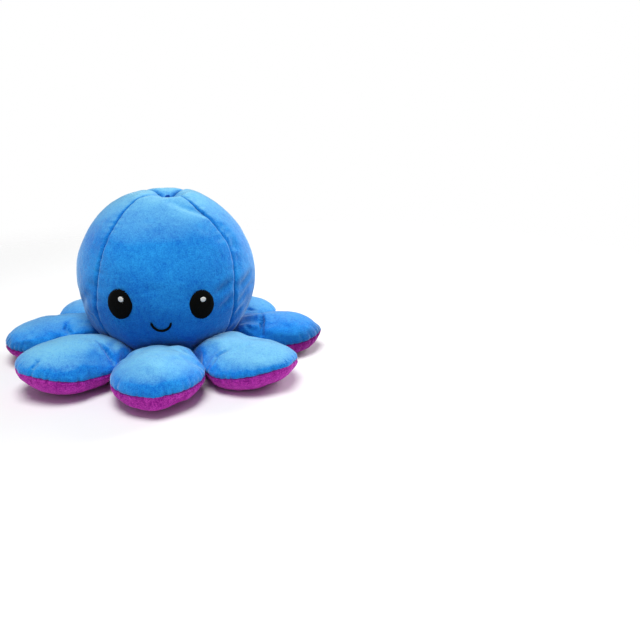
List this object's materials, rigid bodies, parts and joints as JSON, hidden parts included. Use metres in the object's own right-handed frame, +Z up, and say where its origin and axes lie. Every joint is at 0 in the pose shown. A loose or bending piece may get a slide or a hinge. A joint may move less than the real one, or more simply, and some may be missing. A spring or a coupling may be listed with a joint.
{
  "type": "reversible plush octopus",
  "caption": "Stuffed plush octopus that turns inside out: round panelled head with a stitched face over a lined pocket, and padded petal legs sewn round its rim.",
  "frame": {"origin": "on the floor under the middle of the head", "axes": "+Z up through the crown, face towards -Y, +X to the right of someone facing it"},
  "size_m": [0.2, 0.2, 0.1064],
  "materials": {
    "blue_plush": "short velvety pile",
    "purple_plush": "short velvety pile",
    "fibrefill": "loose white polyester fibre",
    "black_thread": "satin stitch",
    "blue_thread": "twisted thread",
    "white_thread": "satin stitch"
  },
  "bodies": {
    "head": {"head_panel_front": "blue_plush", "head_panel_right": "blue_plush", "head_panel_back": "blue_plush", "head_panel_left": "blue_plush", "lining_panel_front": "purple_plush", "lining_panel_right": "purple_plush", "lining_panel_back": "purple_plush", "lining_panel_left": "purple_plush", "head_padding": "fibrefill", "crown_tack": "blue_thread", "face_eye_left": "black_thread", "face_eye_right": "black_thread", "face_glint_left": "white_thread", "face_glint_right": "white_thread", "face_mouth": "black_thread", "inner_face_eye_left": "black_thread", "inner_face_eye_right": "black_thread", "inner_face_glint_left": "white_thread", "inner_face_glint_right": "white_thread", "inner_face_mouth": "black_thread"},
    "leg_front": {"leg_front_top": "blue_plush", "leg_front_underside": "purple_plush", "leg_front_fill": "fibrefill"},
    "leg_front_right": {"leg_front_right_top": "blue_plush", "leg_front_right_underside": "purple_plush", "leg_front_right_fill": "fibrefill"},
    "leg_right": {"leg_right_top": "blue_plush", "leg_right_underside": "purple_plush", "leg_right_fill": "fibrefill"},
    "leg_back_right": {"leg_back_right_top": "blue_plush", "leg_back_right_underside": "purple_plush", "leg_back_right_fill": "fibrefill"},
    "leg_back": {"leg_back_top": "blue_plush", "leg_back_underside": "purple_plush", "leg_back_fill": "fibrefill"},
    "leg_back_left": {"leg_back_left_top": "blue_plush", "leg_back_left_underside": "purple_plush", "leg_back_left_fill": "fibrefill"},
    "leg_left": {"leg_left_top": "blue_plush", "leg_left_underside": "purple_plush", "leg_left_fill": "fibrefill"},
    "leg_front_left": {"leg_front_left_top": "blue_plush", "leg_front_left_underside": "purple_plush", "leg_front_left_fill": "fibrefill"}
  },
  "joints": [
    {"name": "leg_front_flex", "type": "hinge", "parent": "head", "child": "leg_front", "pos_m": [0, -0.04121, 0.01188], "axis": [-1, 0, 0], "range_deg": [-40, 15]},
    {"name": "leg_front_right_flex", "type": "hinge", "parent": "head", "child": "leg_front_right", "pos_m": [0.02914, -0.02914, 0.01188], "axis": [-0.7071, -0.7071, 0], "range_deg": [-40, 15]},
    {"name": "leg_right_flex", "type": "hinge", "parent": "head", "child": "leg_right", "pos_m": [0.04121, 0, 0.01188], "axis": [0, -1, 0], "range_deg": [-40, 15]},
    {"name": "leg_back_right_flex", "type": "hinge", "parent": "head", "child": "leg_back_right", "pos_m": [0.02914, 0.02914, 0.01188], "axis": [0.7071, -0.7071, 0], "range_deg": [-40, 15]},
    {"name": "leg_back_flex", "type": "hinge", "parent": "head", "child": "leg_back", "pos_m": [0, 0.04121, 0.01188], "axis": [1, 0, 0], "range_deg": [-40, 15]},
    {"name": "leg_back_left_flex", "type": "hinge", "parent": "head", "child": "leg_back_left", "pos_m": [-0.02914, 0.02914, 0.01188], "axis": [0.7071, 0.7071, 0], "range_deg": [-40, 15]},
    {"name": "leg_left_flex", "type": "hinge", "parent": "head", "child": "leg_left", "pos_m": [-0.04121, 0, 0.01188], "axis": [0, 1, 0], "range_deg": [-40, 15]},
    {"name": "leg_front_left_flex", "type": "hinge", "parent": "head", "child": "leg_front_left", "pos_m": [-0.02914, -0.02914, 0.01188], "axis": [-0.7071, 0.7071, 0], "range_deg": [-40, 15]}
  ]
}
